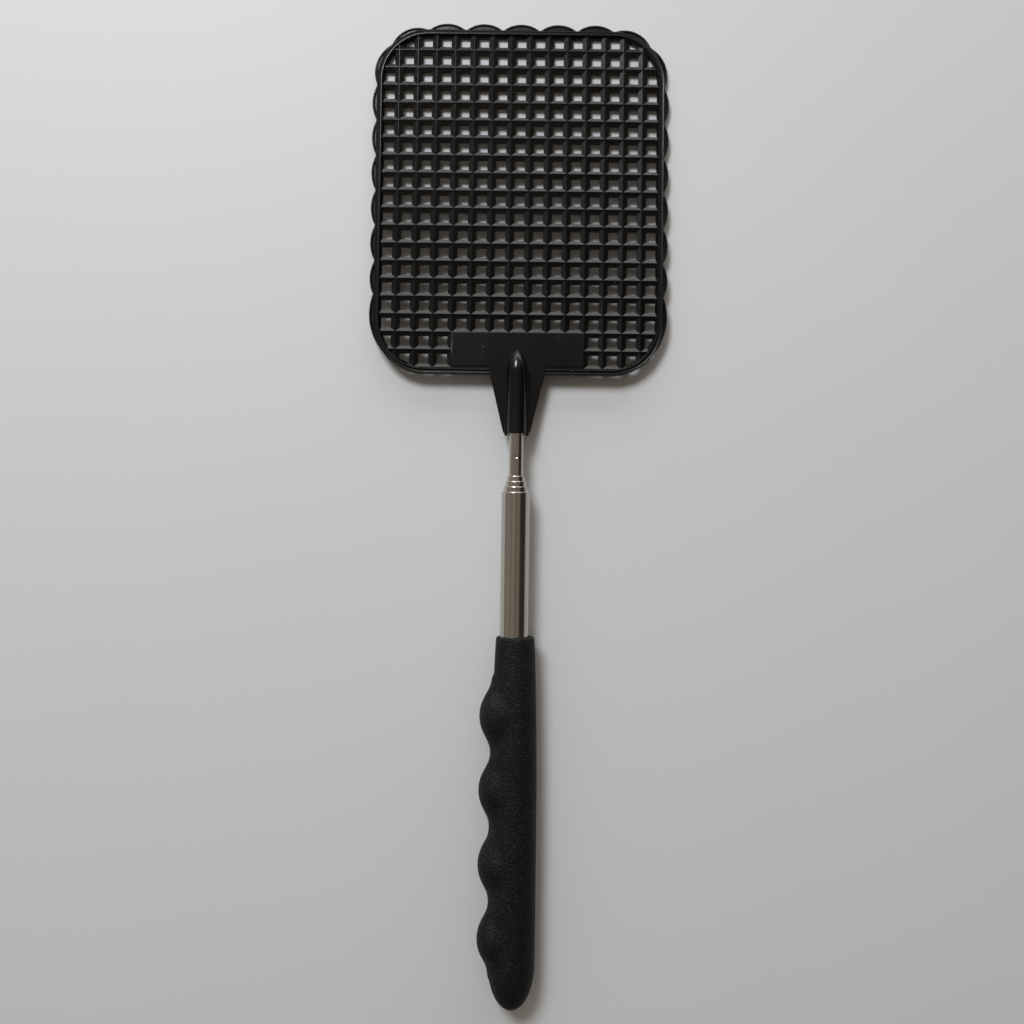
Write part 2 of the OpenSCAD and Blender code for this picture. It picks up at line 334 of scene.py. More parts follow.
def polished_steel():
    """Polished tube with lengthwise draw marks, smudges and a warm tint."""
    f = Finish(bpy.data.materials.new("polished_steel"))
    draw = f.noise(1.0, 3.0, 0.6, f.stretched((2600.0, 9.0, 2600.0)))
    bands = f.noise(1.0, 1.0, 0.5, f.stretched((420.0, 3.0, 420.0)))
    smudge = f.ramp(f.noise(140.0, 4.0, 0.65), (0.4, 0.0), (0.75, 1.0))
    base = f.mix(bands, rgba(finishes().steel, 0.72), rgba(finishes().steel, 1.15))
    roughness = 0.08 + 0.1 * draw + 0.07 * smudge
    normal = f.bump(draw, 0.012 * MM, 0.5)
    return f.surface(Base_Color=base, Metallic=1.0, Roughness=roughness, Normal=normal)


def grip_rubber():
    """Soft matte rubber with a moulded pebble grain and painted glints as light specks, rubbed a little
    smoother where it is held.
    """
    f = Finish(bpy.data.materials.new("grip_rubber"))
    pebble = f.node(
        "ShaderNodeTexVoronoi", {"feature": "SMOOTH_F1"},
        {"Vector": f.place, "Scale": 1600.0, "Smoothness": 0.25}, "Distance",
    )
    lumps = f.noise(1500.0, 3.0, 0.7)
    # Painted glints: light specks in the rubber's colour that stand in for glints of light on the grain.
    painted_glints = f.ramp(f.noise(1700.0, 2.0, 0.6), (0.54, 0.0), (0.62, 1.0))
    worn = f.ramp(f.noise(60.0, 4.0, 0.6), (0.42, 0.0), (0.68, 1.0))
    height = (1.0 - pebble) * 0.6 + lumps * 0.4
    # The colour mixes real wear with the painted glints.
    base = f.mix(0.1 * worn + 0.9 * painted_glints, rgba(finishes().rubber), rgba(finishes().rubber, 9.0))
    roughness = 0.56 + 0.14 * pebble - 0.06 * worn
    normal = f.bump(height, 0.3 * MM, 1.0)
    return f.surface(Base_Color=base, Roughness=roughness, Normal=normal, Specular_IOR_Level=0.2)


def turned_metal(name, tint):
    """Satin turned metal with fine marks round the pole axis."""
    f = Finish(bpy.data.materials.new(name))
    turning = f.noise(1.0, 2.0, 0.5, f.stretched((40.0, 3500.0, 40.0)))
    stain = f.ramp(f.noise(220.0, 3.0), (0.4, 0.0), (0.75, 1.0))
    base = f.mix(0.6 * stain, rgba(tint), rgba(tint, 0.6))
    roughness = 0.28 + 0.14 * turning + 0.12 * stain
    normal = f.bump(turning, 0.01 * MM, 0.6)
    return f.surface(Base_Color=base, Metallic=1.0, Roughness=roughness, Normal=normal)


def plug_plastic():
    """Plain matte plastic of the hidden end plug."""
    f = Finish(bpy.data.materials.new("plug_plastic"))
    cloudy = f.noise(400.0, 3.0)
    base = f.mix(cloudy, rgba(finishes().rubber), rgba(finishes().rubber, 1.8))
    normal = f.bump(f.noise(3000.0, 1.0), 0.02 * MM)
    return f.surface(Base_Color=base, Roughness=0.5 + 0.2 * cloudy, Normal=normal)


def floor_paint():
    """Pale satin surface with a barely visible cloudiness."""
    f = Finish(bpy.data.materials.new("floor_paint"))
    cloudy = f.noise(9.0, 3.0, 0.5)
    base = f.mix(cloudy, rgba(finishes().floor, 0.985), rgba(finishes().floor, 1.015))
    return f.surface(Base_Color=base, Roughness=0.55 + 0.05 * cloudy)


# ---- mesh helpers ----


def piece_from(bm, name, material, body):
    """Turns a bmesh into a piece that rides on a body, smooth except along its steep edges."""
    mesh = bpy.data.meshes.new(name)
    bm.to_mesh(mesh)
    bm.free()
    mesh.materials.append(material)
    mesh.polygons.foreach_set("use_smooth", [True] * len(mesh.polygons))
    mesh.set_sharp_from_angle(angle=SHARP_ANGLE)
    piece = bpy.data.objects.new(name, mesh)
    bpy.context.collection.objects.link(piece)
    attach(piece, body)
    return piece


def rectangle(bm, low_x, high_x, low_y, high_y, height):
    """One flat face, facing up."""
    centre = Matrix.Translation(((low_x + high_x) / 2, (low_y + high_y) / 2, height))
    size = Matrix.Diagonal((high_x - low_x, high_y - low_y, 1.0, 1.0))
    made = bmesh.ops.create_grid(bm, x_segments=1, y_segments=1, size=0.5, matrix=centre @ size)
    return made["verts"][0].link_faces[0]


def outline_face(bm, blade, inset, height):
    """The blade's rounded outline as one face, smaller on every side by an inset."""
    half = blade.half_width - inset
    face = rectangle(bm, -half, half, blade.near_edge + inset, blade.far_edge - inset, height)
    bmesh.ops.bevel(
        bm, geom=list(face.verts), offset=blade.corner - inset, segments=24,
        affect="VERTICES", profile=0.5, material=-1,
    )
    return max(bm.faces, key=lambda f: f.calc_area())


def raise_face(bm, face, height):
    """Makes a closed solid of a flat face by extruding it up. Gives the new top face."""
    made = bmesh.ops.extrude_face_region(bm, geom=[face], use_keep_orig=True)
    top = [g for g in made["geom"] if isinstance(g, bmesh.types.BMFace)][0]
    bmesh.ops.translate(bm, verts=list(top.verts), vec=(0.0, 0.0, height))
    return top


def stepped(bm, face, steps):
    """Insets a face step by step. Each step is (inward distance, rise)."""
    for inward, rise in steps:
        bmesh.ops.inset_region(bm, faces=[face], thickness=inward, depth=rise, use_even_offset=True)


def spun(bm, outline, sides):
    """A solid of revolution about the Y axis from a list of (radius, y) points."""
    verts = [bm.verts.new((radius, y, 0.0)) for radius, y in outline]
    edges = [bm.edges.new(pair) for pair in zip(verts, verts[1:])]
    bmesh.ops.spin(
        bm, geom=verts + edges, cent=(0.0, 0.0, 0.0), axis=(0.0, 1.0, 0.0),
        angle=math.tau, steps=sides, use_merge=True, use_duplicate=False,
    )
    bmesh.ops.remove_doubles(bm, verts=bm.verts, dist=MERGE / 2)
    bmesh.ops.recalc_face_normals(bm, faces=bm.faces)


def arc(centre, radius, start, end, steps):
    """Points of an arc from a start angle to an end angle, in degrees."""
    turns = [math.radians(start + (end - start) * i / steps) for i in range(steps + 1)]
    return [(centre[0] + radius * math.cos(t), centre[1] + radius * math.sin(t)) for t in turns]


def scratch_object(bm, name):
    """A helper object for cutting and joining, made from a bmesh."""
    bmesh.ops.recalc_face_normals(bm, faces=bm.faces)
    mesh = bpy.data.meshes.new(name)
    bm.to_mesh(mesh)
    bm.free()
    helper = bpy.data.objects.new(name, mesh)
    bpy.context.collection.objects.link(helper)
    return helper


def combined(base, operation, *others, crossing=False):
    """Joins, cuts or trims a helper with others, one at a time, and uses those up.

    Crossing is for a base whose own parts cross each other.
    """
    for other in others:
        modifier = base.modifiers.new("combine", "BOOLEAN")
        modifier.operation = operation
        modifier.solver = "EXACT"
        modifier.use_self = crossing
        modifier.object = other
        graph = bpy.context.evaluated_depsgraph_get()
        mesh = bpy.data.meshes.new_from_object(base.evaluated_get(graph))
        base.modifiers.clear()
        base.data = mesh
        bpy.data.objects.remove(other)
        bm = bmesh.new()
        bm.from_mesh(mesh)
        bmesh.ops.remove_doubles(bm, verts=bm.verts, dist=MERGE)
        bmesh.ops.dissolve_degenerate(bm, edges=bm.edges, dist=MERGE / 2)
        bm.to_mesh(mesh)
        bm.free()
    return base


# ---- the blade ----


def grid_start(blade):
    """Place of the near edge of the first row of windows."""
    far_margin = 1.2 * MM
    return blade.far_edge - far_margin - blade.rows * blade.row_pitch


def window_grid(blade):
    """A plate with funnel-shaped windows, larger than the blade on every side."""
    span_x = blade.half_width + 6 * MM
    low_y = blade.near_edge - 4 * MM
    high_y = blade.far_edge + 4 * MM
    grid_near = grid_start(blade)
    half_grid = blade.columns * blade.column_pitch / 2
    column_lines = [-half_grid + i * blade.column_pitch for i in range(blade.columns + 1)]
    row_lines = [grid_near + j * blade.row_pitch for j in range(blade.rows + 1)]
    block_x = blade.block_columns * blade.column_pitch / 2
    block_y = grid_near + blade.block_rows * blade.row_pitch

    def is_window(x, y):
        in_grid = abs(x) < half_grid and row_lines[0] < y < row_lines[-1]
        return in_grid and not (abs(x) < block_x and y < block_y)

    def cut(bm, xs, ys):
        for normal, values in (((1.0, 0.0, 0.0), xs), ((0.0, 1.0, 0.0), ys)):
            for value in values:
                geometry = bm.verts[:] + bm.edges[:] + bm.faces[:]
                point = [value * component for component in normal]
                bmesh.ops.bisect_plane(bm, geom=geometry, plane_co=point, plane_no=normal, dist=1e-7)

    bm = bmesh.new()
    rectangle(bm, -span_x, span_x, low_y, high_y, blade.rib_height)
    cut(bm, column_lines, row_lines)
    windows = [f for f in bm.faces if is_window(f.calc_center_median().x, f.calc_center_median().y)]
    side_slope = (blade.column_pitch - blade.window_w) / 2
    slope = blade.rib_height - blade.rib_foot
    round_off = 0.16 * MM
    bmesh.ops.inset_individual(bm, faces=windows, thickness=blade.rib_crest / 2, depth=0.0)
    bmesh.ops.inset_individual(bm, faces=windows, thickness=round_off * 0.55, depth=-round_off * 0.3)
    bmesh.ops.inset_individual(bm, faces=windows, thickness=round_off * 0.45, depth=-round_off * 0.5)
    bmesh.ops.inset_individual(bm, faces=windows, thickness=side_slope / 2, depth=-slope / 2)
    for face in windows:
        centre = face.calc_center_median()
        for vert in face.verts:
            vert.co.x = centre.x + math.copysign(blade.window_w / 2, vert.co.x - centre.x)
            vert.co.y = centre.y + math.copysign(blade.window_h / 2, vert.co.y - centre.y)
            vert.co.z = blade.rib_foot
    walls = bmesh.ops.extrude_discrete_faces(bm, faces=windows)["faces"]
    for face in walls:
        for vert in face.verts:
            vert.co.z = 0.0
    bmesh.ops.delete(bm, geom=walls, context="FACES_ONLY")

    back = bmesh.new()
    rectangle(back, -span_x, span_x, low_y, high_y, 0.0)
    half_w, half_h = blade.window_w / 2, blade.window_h / 2
    column_middles = [(a + b) / 2 for a, b in zip(column_lines, column_lines[1:])]
    row_middles = [(a + b) / 2 for a, b in zip(row_lines, row_lines[1:])]
    cut(
        back,
        [x + side * half_w for x in column_middles for side in (-1, 1)],
        [y + side * half_h for y in row_middles for side in (-1, 1)],
    )

    def is_hole(face):
        centre = face.calc_center_median()
        near_x = min(abs(centre.x - x) for x in column_middles) < half_w / 2
        near_y = min(abs(centre.y - y) for y in row_middles) < half_h / 2
        return near_x and near_y and is_window(centre.x, centre.y)

    bmesh.ops.delete(back, geom=[f for f in back.faces if is_hole(f)], context="FACES_ONLY")
    sheet = bpy.data.meshes.new("back")
    back.to_mesh(sheet)
    back.free()
    bm.from_mesh(sheet)
    bmesh.ops.remove_doubles(bm, verts=bm.verts, dist=MERGE)
    rim = [e for e in bm.edges if e.is_boundary]
    bmesh.ops.bridge_loops(bm, edges=rim)
    return scratch_object(bm, "window_grid")


def outline_solid(blade, inset, low, high):
    """A solid block of the blade's outline between two heights."""
    bm = bmesh.new()
    raise_face(bm, outline_face(bm, blade, inset, low), high - low)
    return scratch_object(bm, "outline")


def rim_ridge(blade):
    """The closed ring of the rim: outer wall, a double ridge and the inner slope to the windows."""
    bm = bmesh.new()
    bottom = outline_face(bm, blade, 0.0, 0.0)
    wall = blade.plate - 0.75 * MM
    top = raise_face(bm, bottom, wall)
    outer_ridge = [(0.12 * MM, 0.22 * MM), (0.2 * MM, 0.2 * MM), (0.12 * MM, 0.05 * MM)]
    groove = [(0.12 * MM, -0.06 * MM), (0.5 * MM, -0.04 * MM), (0.1 * MM, 0.06 * MM)]
    inner_ridge = [(0.22 * MM, 0.24 * MM), (0.1 * MM, 0.08 * MM), (0.25 * MM, 0.0), (0.15 * MM, -0.1 * MM)]
    crest = outer_ridge + groove + inner_ridge
    reach = sum(step[0] for step in crest)
    drop = wall + sum(step[1] for step in crest) - blade.rib_foot
    crest += [(blade.rim_band - reach, -drop), (0.02 * MM, 0.05 * MM - blade.rib_foot)]
    stepped(bm, top, crest)
    bm.faces.ensure_lookup_table()
    bmesh.ops.inset_region(bm, faces=[bottom], thickness=blade.rim_band, depth=0.0, use_even_offset=True)
    rings = [list(top.edges), list(bottom.edges)]
    bmesh.ops.delete(bm, geom=[top, bottom], context="FACES_ONLY")
    bmesh.ops.bridge_loops(bm, edges=rings[0] + rings[1])
    return scratch_object(bm, "rim_ridge")


def lobe_circles(blade):
    """(centre, radius) of every lobe. A lobe is the round segment that rises from a chord."""
    far_x = blade.half_width - blade.corner
    cusps = [Vector((far_x * (2 * i + 1) / 5, blade.far_edge - 0.1 * MM)) for i in range(3)]
    slant = math.radians(44)
    cusps.append(Vector((
        blade.half_width - blade.corner * (1 - math.cos(slant)),
        blade.far_edge - blade.corner * (1 - math.sin(slant)),
    )))
    side_x = blade.half_width - 0.1 * MM
    first_y = blade.far_edge - blade.corner - 1.9 * MM
    lobe_pitch = 2 * blade.row_pitch
    side_lobes = 6
    cusps += [Vector((side_x, first_y - i * lobe_pitch)) for i in range(side_lobes + 1)]
    rises = [blade.far_lobe] * 2 + [blade.corner_lobe] * 2 + [blade.side_lobe] * side_lobes

    def circle(start, end, rise):
        chord = (end - start).length
        radius = (chord * chord / 4 + rise * rise) / (2 * rise)
        across = Vector((start.y - end.y, end.x - start.x)) / chord
        return (start + end) / 2 + across * (rise - radius), radius

    found = [circle(cusps[i], cusps[i + 1], rises[i]) for i in range(len(rises))]
    low_y = blade.near_edge + 0.1 * MM
    last_radius = cusps[-1].y - lobe_pitch / 2 - low_y
    found.append((Vector((side_x + blade.side_lobe - last_radius, low_y + last_radius)), last_radius))
    found += [(Vector((-centre.x, centre.y)), radius) for centre, radius in found]
    found.append(circle(Vector((-cusps[0].x, cusps[0].y)), cusps[0], blade.far_lobe))
    return found


def lobes(blade):
    """Every lobe as a shallow dish: a rounded bead round a thinner floor, a hair above the back."""
    bm = bmesh.new()
    lift = 0.02 * MM
    for centre, radius in lobe_circles(blade):
        made = bmesh.ops.create_circle(
            bm, cap_ends=True, segments=128, radius=radius,
            matrix=Matrix.Translation((centre.x, centre.y, lift)),
        )
        bottom = max(made["verts"][0].link_faces, key=lambda f: f.calc_area())
        if bottom.normal.z < 0:
            bottom.normal_flip()
        wall = blade.bead_height - 0.45 * MM - lift
        top = raise_face(bm, bottom, wall)
        floor_drop = blade.bead_height - blade.lobe_floor
        stepped(bm, top, [
            (0.1 * MM, 0.25 * MM), (0.2 * MM, 0.16 * MM), (0.22 * MM, 0.04 * MM),
            (0.2 * MM, -0.1 * MM), (0.25 * MM, 0.1 * MM - floor_drop),
        ])
    return scratch_object(bm, "lobes")


def neck(blade, socket):
    """The tapered neck plate and the blank block behind it, which lies a hair lower."""
    bm = bmesh.new()
    root = blade.near_edge + blade.rim_band + MM
    lift = 0.02 * MM
    bottom = rectangle(bm, -socket.root_width / 2, socket.root_width / 2, 0.0, blade.near_edge, lift)
    for vert in bottom.verts:
        if vert.co.y < MM:
            vert.co.x *= socket.mouth_width / socket.root_width
    mouth = [v for v in bottom.verts if v.co.y < MM]
    bmesh.ops.bevel(
        bm, geom=mouth, offset=1.1 * MM, segments=6, affect="VERTICES", profile=0.5, material=-1
    )
    bottom = max(bm.faces, key=lambda f: f.calc_area())
    top = raise_face(bm, bottom, blade.plate - lift)
    bmesh.ops.bevel(
        bm, geom=list(top.edges), offset=0.3 * MM, segments=3, affect="EDGES", profile=0.5, material=-1
    )
    for vert in bm.verts:
        if vert.co.y > blade.near_edge - 0.4 * MM:
            vert.co.y = root
    block = bmesh.new()
    block_x = blade.block_columns * blade.column_pitch / 2
    block_y = grid_start(blade) + blade.block_rows * blade.row_pitch
    sink = 0.05 * MM
    block_low = 0.5 * MM
    face = rectangle(block, -block_x - sink, block_x + sink, root - 0.9 * MM, block_y + sink, block_low)
    top = raise_face(block, face, blade.plate - sink - block_low)
    bmesh.ops.bevel(
        block, geom=list(top.edges), offset=0.25 * MM, segments=3, affect="EDGES", profile=0.5, material=-1
    )
    return [scratch_object(bm, "neck"), scratch_object(block, "block")]


def socket_ridge(socket, plate):
    """The ridge over the pole's end, with straight flanks, a rounded nose and two thin side ribs."""
    bm = bmesh.new()
    straight = socket.reach - socket.nose
    nose_radius = (socket.nose ** 2 + socket.radius ** 2) / (2 * socket.radius)
    tip = math.degrees(math.asin(socket.nose / nose_radius))
    nose = arc((socket.radius - nose_radius, straight), nose_radius, 0.0, tip, 16)
    nose[-1] = (0.0, socket.reach)
    outline = [(0.0, 0.0), (socket.radius - 0.3 * MM, 0.0)]
    outline += arc((socket.radius - 0.3 * MM, 0.3 * MM), 0.3 * MM, -90.0, 0.0, 4)[1:] + nose
    spun(bm, outline, SOCKET_SIDES)
    bullet = scratch_object(bm, "bullet")
    depth = socket.radius - plate / 2
    flanks = bmesh.new()
    face = rectangle(flanks, -socket.radius, socket.radius, 0.3 * MM, straight, -depth)
    raise_face(flanks, face, depth)
    ribs = bmesh.new()
    for side in (-1, 1):
        inner = side * (socket.radius - 0.2 * MM)
        outer = side * (socket.radius + socket.side_rib)
        face = rectangle(ribs, min(inner, outer), max(inner, outer), -socket.nub, straight + MM, -depth)
        top = raise_face(ribs, face, depth + 0.4 * MM)
        bmesh.ops.bevel(
            ribs, geom=list(top.edges), offset=0.25 * MM, segments=3, affect="EDGES",
            profile=0.5, material=-1,
        )
    return [bullet, scratch_object(flanks, "flanks"), scratch_object(ribs, "ribs")]


def blade_matrix(mouth_y):
    """From the blade's own frame, on its flat back, to the row frame."""
    normal = -Vector(BLADE_FACE["axis"])
    point = Vector(BLADE_FACE["pos_m"])
    along = Vector((0.0, normal.z, -normal.y))
    pole = Vector((0.0, mouth_y, POLE_Z))
    origin = pole - normal * (pole - point).dot(normal)
    turned = Matrix((Vector((1.0, 0.0, 0.0)), along, normal)).transposed().to_4x4()
    return Matrix.Translation(origin) @ turned


class SWATTER_OT_blade(bpy.types.Operator):
    """Build the moulded blade with its grid, rim, lobes, neck and socket"""

    bl_idname = "swatter.blade"
    bl_label = "Blade"

    def execute(self, context):
        blade = context.scene.swatter_blade
        socket = context.scene.swatter_socket
        low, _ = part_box("swatter_head")
        mouth_y = low.y + socket.nub
        trim = outline_solid(blade, 0.8 * MM, -MM, 4 * MM)
        grid = combined(window_grid(blade), "INTERSECT", trim)
        core = outline_solid(blade, 1.2 * MM, -MM, 4 * MM)
        edge = combined(lobes(blade), "DIFFERENCE", core, crossing=True)
        flat_parts = combined(grid, "UNION", rim_ridge(blade), edge, *neck(blade, socket))
        flat_parts.data.transform(blade_matrix(mouth_y))
        ridge = socket_ridge(socket, blade.plate)
        on_pole = Matrix.Translation((0.0, mouth_y, POLE_Z))
        for helper in ridge:
            helper.data.transform(on_pole)
        moulding = combined(flat_parts, "UNION", *ridge)
        hole = bmesh.new()
        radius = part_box("tip_tube")[1].x + GLUE_GAP
        start = -2 * MM
        outline = [(0.0, start), (radius, start), (radius, socket.bore), (0.0, socket.bore)]
        spun(hole, outline, SOCKET_SIDES)
        hole_helper = scratch_object(hole, "hole")
        hole_helper.data.transform(on_pole)
        moulding = combined(moulding, "DIFFERENCE", hole_helper)
        bm = bmesh.new()
        bm.from_mesh(moulding.data)
        bmesh.ops.remove_doubles(bm, verts=bm.verts, dist=2 * MERGE)
        bmesh.ops.recalc_face_normals(bm, faces=bm.faces)
        bpy.data.objects.remove(moulding)
        piece = piece_from(bm, "blade", moulded_plastic(), "blade_section")
        flat = piece.modifiers.new("flat_faces", "WEIGHTED_NORMAL")
        flat.keep_sharp = True
        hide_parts("swatter_head")
        return {"FINISHED"}


# ---- the pole ----


def section_outline(pole, radius, foot, mouth, inner_radius):
    """Closed outline of a tube: plain foot, straight wall and a lip rolled in over the next section."""
    roll = pole.lip / 2
    lip_radius = inner_radius + pole.gap
    bore = radius - pole.wall
    outer = [(radius, foot), (radius, (foot + mouth) / 2)]
    rolled = arc((radius - roll, mouth - roll), roll, 0.0, 90.0, 8)
    inside = arc((lip_radius + 0.12 * MM, mouth - 0.12 * MM), 0.12 * MM, 90.0, 180.0, 4)
    back = [(lip_radius, mouth - pole.lip), (bore, mouth - pole.lip), (bore, foot), (radius, foot)]
    return outer + rolled + inside + back


def steel_piece(bm, material, node, body):
    """Puts a section that was made about the Y axis on the pole axis, in place of its CAD node."""
    bmesh.ops.translate(bm, verts=bm.verts, vec=(0.0, 0.0, POLE_Z))
    piece = piece_from(bm, "steel_" + node, material, body)
    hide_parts(node)


def dimpled_tip(pole, radius, foot, top, dimple_y):
    """The thinnest section: a plain tube, finely ringed where the punch dented its front."""
    bm = bmesh.new()
    reach = pole.dimple
    fine = [dimple_y + reach * (i / 10 - 1) for i in range(21)]
    outline = [(radius, y) for y in [foot, *fine, top]]
    outline += [(radius - pole.wall, top), (radius - pole.wall, foot), (radius, foot)]
    spun(bm, outline, 2 * pole.sides)
    front = Vector((0.0, dimple_y, radius))
    for vert in bm.verts:
        on_front = vert.co.z > 0 and vert.co.xz.length > radius - 0.1 * pole.wall
        away = (vert.co - front).length / (pole.dimple / 2)
        if on_front and away < 1.6:
            dent = math.exp(-3.0 * away ** 2)
            raised_edge = 0.12 * math.exp(-14.0 * (away - 1.0) ** 2)
            depth = pole.dimple_depth * (dent - raised_edge)
            vert.co -= Vector((vert.co.x, 0.0, vert.co.z)).normalized() * depth
    return bm


class SWATTER_OT_pole(bpy.types.Operator):
    """Build the five steel sections with their rolled lips and the punched dimple"""

    bl_idname = "swatter.pole"
    bl_label = "Pole"

    def execute(self, context):
        pole = context.scene.swatter_pole
        steel = polished_steel()
        bodies = {"outer_tube": "handle", **SLIDING_TUBES}
        names = [*bodies, "tip_tube"]
        for node, inner in zip(names, names[1:]):
            low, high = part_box(node)
            bm = bmesh.new()
            outline = section_outline(pole, high.x, low.y, high.y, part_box(inner)[1].x)
            spun(bm, outline, pole.sides)
            steel_piece(bm, steel, node, bodies[node])
        low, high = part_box("tip_tube")
        mouth_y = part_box("swatter_head")[0].y + context.scene.swatter_socket.nub
        bm = dimpled_tip(pole, high.x, low.y, high.y, mouth_y - pole.dimple_drop)
        steel_piece(bm, steel, "tip_tube", "blade_section")
        return {"FINISHED"}


class SWATTER_OT_inner_parts(bpy.types.Operator):
    """Give the hidden collars, shims and plug their metal and plastic finishes"""

    bl_idname = "swatter.inner_parts"
    bl_label = "Inner parts"

    def execute(self, context):
        colours = context.scene.swatter_finishes
        looks = {
            "stop_collar": turned_metal("collar_brass", colours.brass),
            "friction_shim": turned_metal("shim_bronze", colours.bronze),
            "tube_end_plug": plug_plastic(),
        }
        for name, node in frame["nodes"].items():
            for start, material in looks.items():
                if name.startswith(start):
                    for slot in node.material_slots:
                        slot.material = material
        return {"FINISHED"}


# ---- the grip ----


def smooth_max(a, b, blend):
    """The larger of two lengths, with a soft change from one to the other."""
    share = max(0.0, min(1.0, 0.5 + (a - b) / (2 * blend)))
    return b + (a - b) * share + blend * share * (1 - share)


def body_radius(grip, length_all, radius, station):
    """Radius of the grip's round body: an elliptical butt, then a slow taper to the mouth."""
    if station < grip.butt:
        return radius * math.sqrt(max(0.0, 1 - ((grip.butt - station) / grip.butt) ** 2))
    share = min(1.0, ((length_all - station) / grip.swell) ** 0.8)
    return grip.mouth_radius + (radius - grip.mouth_radius) * math.sin(math.pi / 2 * share)


def finger_radius(grip, station):
    """Radius of the finger row about its own centre line, fading out beyond the first and last bump."""
    turn = math.tau * (station - grip.finger_first) / grip.finger_pitch
    wave = grip.finger_wave * math.cos(turn) - 0.2 * MM * math.cos(2 * turn)
    low = grip.finger_first - 0.5 * grip.finger_pitch
    high = grip.finger_first + (grip.fingers - 0.5) * grip.finger_pitch
    beyond = max(0.0, low - station, station - high)
    if beyond:
        wave = -grip.finger_wave - beyond
    return max(0.0, grip.finger_radius + wave)


def reach_of_circle(centre_x, radius, angle):
    """Distance from the pole axis to a shifted circle, in one direction."""
    inside = radius ** 2 - (centre_x * math.sin(angle)) ** 2
    if inside <= 0:
        return 0.0
    return centre_x * math.cos(angle) + math.sqrt(inside)


def grip_reach(grip, length_all, radius, station, angle):
    """Distance from the pole axis to the grip's skin."""
    body = reach_of_circle(grip.shift, body_radius(grip, length_all, radius, station), angle)
    finger = reach_of_circle(-grip.finger_offset, finger_radius(grip, station), angle)
    if station < grip.finger_first:
        finger = min(finger, body + (finger - body) * min(1.0, station / (0.8 * grip.finger_first)))
    return smooth_max(body, finger, 1.2 * MM)


class SWATTER_OT_grip(bpy.types.Operator):
    """Build the soft grip with its finger bumps, rounded butt and bore"""

    bl_idname = "swatter.grip"
    bl_label = "Grip"

    def execute(self, context):
        grip = context.scene.swatter_grip
        length_all = GRIP_HIGH.y - GRIP_LOW.y
        radius = POLE_Z - GRIP_LOW.z
        bore = TUBE_HIGH.x + GLUE_GAP
        bore_end = TUBE_LOW.y - GRIP_LOW.y - 0.5 * MM
        butt = [grip.butt * (1 - math.cos(math.radians(a))) for a in range(4, 90, 5)]
        body_length = length_all - grip.edge - grip.butt
        body_steps = int(body_length / MM)
        body = [grip.butt + body_length * i / body_steps for i in range(body_steps + 1)]
        rings = [("skin", station, 0.0) for station in butt + body]
        for a in range(15, 91, 15):
            turn = math.radians(a)
            edge_y = length_all - grip.edge * (1 - math.sin(turn))
            rings.append(("skin", edge_y, grip.edge * (1 - math.cos(turn))))
        rings += [("bore", length_all, 0.35 * MM), ("bore", length_all - 0.35 * MM, 0.0)]
        rings += [("bore", length_all - 8 * MM, 0.0), ("bore", bore_end, 0.0)]

        bm = bmesh.new()
        made = bmesh.ops.create_circle(bm, cap_ends=False, segments=grip.sides, radius=MM)
        loop = made["verts"]
        angles = [math.atan2(v.co.y, v.co.x) for v in loop]
        edges = list({e for v in loop for e in v.link_edges})
        for index, (kind, station, change) in enumerate(rings):
            if index:
                grown = bmesh.ops.extrude_edge_only(bm, edges=edges)["geom"]
                edges = [g for g in grown if isinstance(g, bmesh.types.BMEdge)]
                fresh = {g for g in grown if isinstance(g, bmesh.types.BMVert)}
                edges = [e for e in edges if e.verts[0] in fresh and e.verts[1] in fresh]
                loop = [
                    next(e.other_vert(v) for e in v.link_edges if e.other_vert(v) in fresh) for v in loop
                ]
            for vert, angle in zip(loop, angles):
                away = bore + change
                if kind == "skin":
                    skin_at = min(station, length_all - 0.01 * MM)
                    away = grip_reach(grip, length_all, radius, skin_at, angle) - change
                vert.co = (away * math.cos(angle), GRIP_LOW.y + station, POLE_Z + away * math.sin(angle))
        bmesh.ops.holes_fill(bm, edges=[e for e in bm.edges if e.is_boundary], sides=0)
        caps = [f for f in bm.faces if len(f.verts) > 4]
        bmesh.ops.poke(bm, faces=caps)
        centre = min((v for v in bm.verts if len(v.link_edges) > 8), key=lambda v: v.co.y)
        centre.co.y = GRIP_LOW.y
        centre.co.x = grip.shift
        bmesh.ops.recalc_face_normals(bm, faces=bm.faces)
        piece = piece_from(bm, "soft_grip", grip_rubber(), "handle")
        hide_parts("grip")
        return {"FINISHED"}


# ---- the studio ----


def area_light(name, power, size, place, tint, up="Y"):
    """A soft rectangular light that shines on the swatter, with one of its own axes turned upward."""
    data = bpy.data.lights.new(name, "AREA")
    data.shape = "RECTANGLE"
    data.size, data.size_y = size
    data.energy = power
    data.color = tint
    lamp = bpy.data.objects.new(name, data)
    lamp.location = place
    lamp.rotation_euler = (-Vector(place)).to_track_quat("-Z", up).to_euler()
    bpy.context.collection.objects.link(lamp)


def room_light(studio):
    """A dim warm room: dark walls, a lighter far end and left side, and a grey-brown ceiling."""
    f = Finish(bpy.data.worlds.new("room"), "Generated")
    right, far, up = (f.node("ShaderNodeSeparateXYZ", {}, {"Vector": f.place}, axis) for axis in "XYZ")
    ceiling = f.ramp(up - 0.3 * right, (0.4, 0.0), (0.8, 0.07))
    far_end = f.ramp(far, (0.25, 0.0), (0.95, 0.7))
    left_side = f.ramp(0.0 - right, (0.1, 0.0), (0.9, 0.2))
    share = ceiling + far_end + left_side
    tint = f.mix(share, (0.04, 0.032, 0.025, 1.0), (1.0, 0.88, 0.74, 1.0))
    background = f.node("ShaderNodeBackground", {}, {"Color": tint, "Strength": studio.sky})
    f.end("ShaderNodeOutputWorld", background)
    return f.holder


